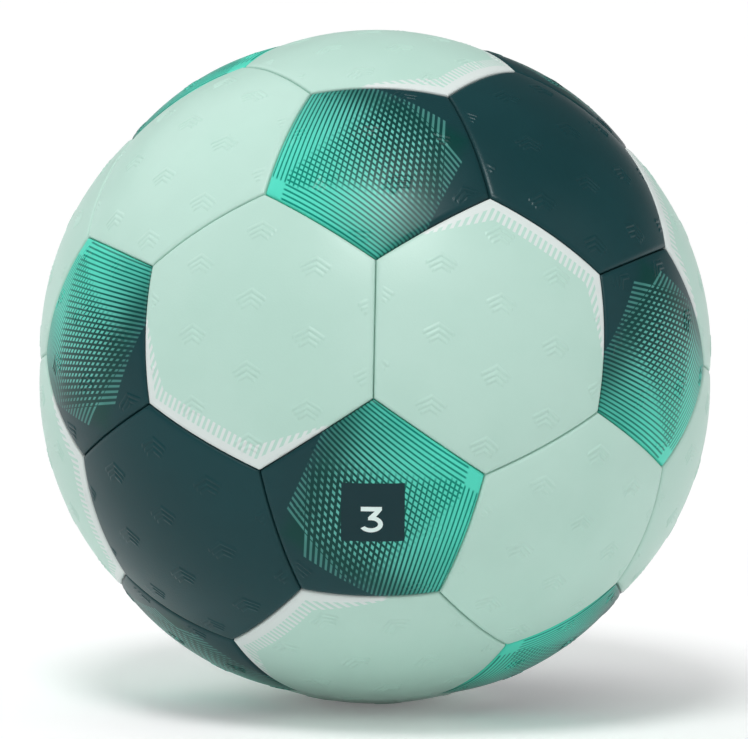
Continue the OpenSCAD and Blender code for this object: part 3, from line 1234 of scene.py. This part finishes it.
class HANDBALL_OT_stage(bpy.types.Operator):
    """Makes the pale floor, the studio light and the camera."""

    bl_idname = "handball.stage"
    bl_label = "Stage"

    def execute(self, context):
        scene = context.scene
        settings = scene.stage_settings
        self.floor()
        self.sky(scene, settings.sky)
        # The key's soft gleam lies a little to the right of its light, so it has a lamp of its own
        self.lamp("key_light", settings.key, 0.65, (-0.25, -0.95, 1.85)).visible_glossy = False
        self.lamp("gleam_light", settings.gleam, 0.9, (0.16, -1.16, 1.73)).visible_diffuse = False
        self.lamp("back_light", settings.back, 1.6, (-1.2, 0.9, 1.4))
        self.lamp("fill_light", settings.fill, 1.4, (1.9, -0.4, 1.0))
        self.camera(scene, settings)
        scene.view_settings.view_transform = "Standard"
        return {"FINISHED"}

    def floor(self):
        """A pale floor that takes the ball's shadow and is plain white farther off."""
        start_clean()
        bpy.ops.mesh.primitive_plane_add(size=14, location=(0, 0, cad_low.z - 0.05 * MM))
        floor = bpy.context.object
        floor.name = "studio_floor"
        bpy.ops.object.transform_apply(location=True)
        material, n, shader = new_material("pale floor")
        shader["Roughness"].default_value = 0.9
        shader["Specular IOR Level"].default_value = 0.1
        shader["Emission Strength"].default_value = 1
        seen = n.seen()
        away = n.add("VectorMath", operation="LENGTH")
        n.feed(away.inputs[0], n.place())
        near, off = 0.12, 0.45
        far = n.times(n.step(away.outputs["Value"], near, off), seen)
        glow = n.times(n.step(away.outputs["Value"], near, off, 0.15, 1.0), seen)
        n.feed(shader["Base Color"], n.mix(far, (0.95, 0.95, 0.95, 1), BLACK))
        n.feed(shader["Emission Color"], n.mix(glow, BLACK, WHITE))
        floor.data.materials.append(material)

    def sky(self, scene, strength):
        """Even light from all round, in front of a backdrop that is white low down and dark overhead."""
        world = bpy.data.worlds.new("studio sky")
        scene.world = world
        world.use_nodes = True
        world.node_tree.nodes.clear()
        n = Nodes(world.node_tree)
        light = n.add("Background")
        light.inputs["Strength"].default_value = strength
        light.inputs["Color"].default_value = WHITE
        direction = n.add("SeparateXYZ")
        n.feed(direction.inputs[0], n.add("TexCoord").outputs["Generated"])
        backdrop = n.add("Background")
        overhead = n.step(direction.outputs["Z"], 0, 0.25)
        n.feed(backdrop.inputs["Color"], n.mix(overhead, WHITE, (0.1, 0.1, 0.1, 1)))
        both = n.add("MixShader")
        for socket, x in zip(both.inputs, (n.seen(), light.outputs[0], backdrop.outputs[0])):
            n.feed(socket, x)
        n.feed(n.add("OutputWorld").inputs["Surface"], both.outputs[0])

    def lamp(self, name, watts, size, place):
        """A round soft lamp that points at the ball."""
        start_clean()
        bpy.ops.object.light_add(type="AREA", location=place)
        lamp = bpy.context.object
        lamp.name = name
        lamp.data.energy = watts
        lamp.data.shape = "DISK"
        lamp.data.size = size
        lamp.rotation_euler = (-Vector(place)).to_track_quat("-Z", "Y").to_euler()
        return lamp

    def camera(self, scene, settings):
        """A long lens towards the ball, shifted by a pixel or two as in the photograph."""
        a, e = settings.azimuth, settings.elevation
        back = Vector((math.sin(a) * math.cos(e), -math.cos(a) * math.cos(e), math.sin(e)))
        data = bpy.data.cameras.new("photo_camera")
        data.sensor_width = 36
        data.lens = settings.focal
        data.shift_x, data.shift_y = -1.15 / 748, -2.27 / 748
        data.clip_start, data.clip_end = 0.1, 30
        camera = new_object("photo_camera", data)
        turn = back.to_track_quat("Z", "Y").to_matrix().to_4x4()
        placed = Matrix.Translation(back * settings.distance) @ turn
        camera.matrix_world = placed @ Matrix.Rotation(settings.roll, 4, "Z")
        scene.camera = camera


OPERATORS = (
    HANDBALL_OT_pentagons,
    HANDBALL_OT_bordered_hexagons,
    HANDBALL_OT_dark_hexagons,
    HANDBALL_OT_plain_hexagons,
    HANDBALL_OT_badge,
    HANDBALL_OT_valve,
    HANDBALL_OT_inner_layers,
    HANDBALL_OT_stage,
)


class HANDBALL_PT_sidebar(bpy.types.Panel):
    """Lists the pieces of the ball and their sizes."""

    bl_idname = "HANDBALL_PT_sidebar"
    bl_label = "Handball"
    bl_space_type = "VIEW_3D"
    bl_region_type = "UI"
    bl_category = "Handball"

    def draw(self, context):
        layout = self.layout
        for operator in OPERATORS:
            layout.operator(operator.bl_idname)
        for name, group in GROUPS.items():
            box = layout.box()
            box.label(text=group.bl_rna.description or name)
            for prop in group.__annotations__:
                box.prop(getattr(context.scene, name), prop)


CLASSES = (*GROUPS.values(), *OPERATORS, HANDBALL_PT_sidebar)


def register():
    for cls in CLASSES:
        bpy.utils.register_class(cls)
    for name, group in GROUPS.items():
        setattr(bpy.types.Scene, name, bpy.props.PointerProperty(type=group))


def unregister():
    for name in GROUPS:
        delattr(bpy.types.Scene, name)
    for cls in reversed(CLASSES):
        bpy.utils.unregister_class(cls)


def main():
    register()
    bpy.ops.handball.pentagons()
    bpy.ops.handball.bordered_hexagons()
    bpy.ops.handball.dark_hexagons()
    bpy.ops.handball.plain_hexagons()
    bpy.ops.handball.badge()
    bpy.ops.handball.valve()
    bpy.ops.handball.inner_layers()
    bpy.ops.handball.stage()
    for piece in [o for o in bpy.data.objects if o.name.startswith("panel_model_")]:
        bpy.data.objects.remove(piece)


if __name__ == "__main__":
    main()
